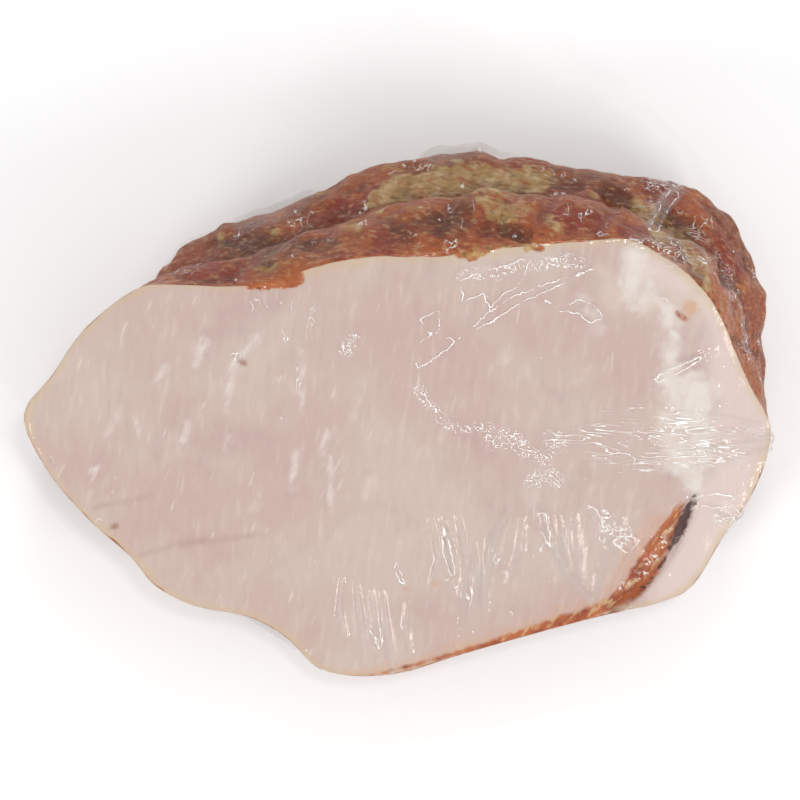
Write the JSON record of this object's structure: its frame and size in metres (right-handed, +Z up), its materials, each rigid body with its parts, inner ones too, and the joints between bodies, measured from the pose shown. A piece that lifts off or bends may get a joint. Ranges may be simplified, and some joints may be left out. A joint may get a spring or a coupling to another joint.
{
  "type": "smoked ham",
  "caption": "Chunk of boneless smoked ham with one flat pale cut face and a lumpy smoked rind, wrapped in clear cling film; lies on its flattened back.",
  "frame": {"origin": "on the table, under the middle of the piece's bounding box", "axes": "+X to the right along the cut face's length, +Y to the back, where the rind is thickest, +Z up, the cut face leaning 18 degrees towards -Y"},
  "size_m": [0.2664, 0.191, 0.1001],
  "materials": {
    "smoked_meat": "satin",
    "clear_film": "gloss"
  },
  "bodies": {
    "root": {"ham": "smoked_meat", "cling_film": "clear_film"}
  },
  "joints": []
}
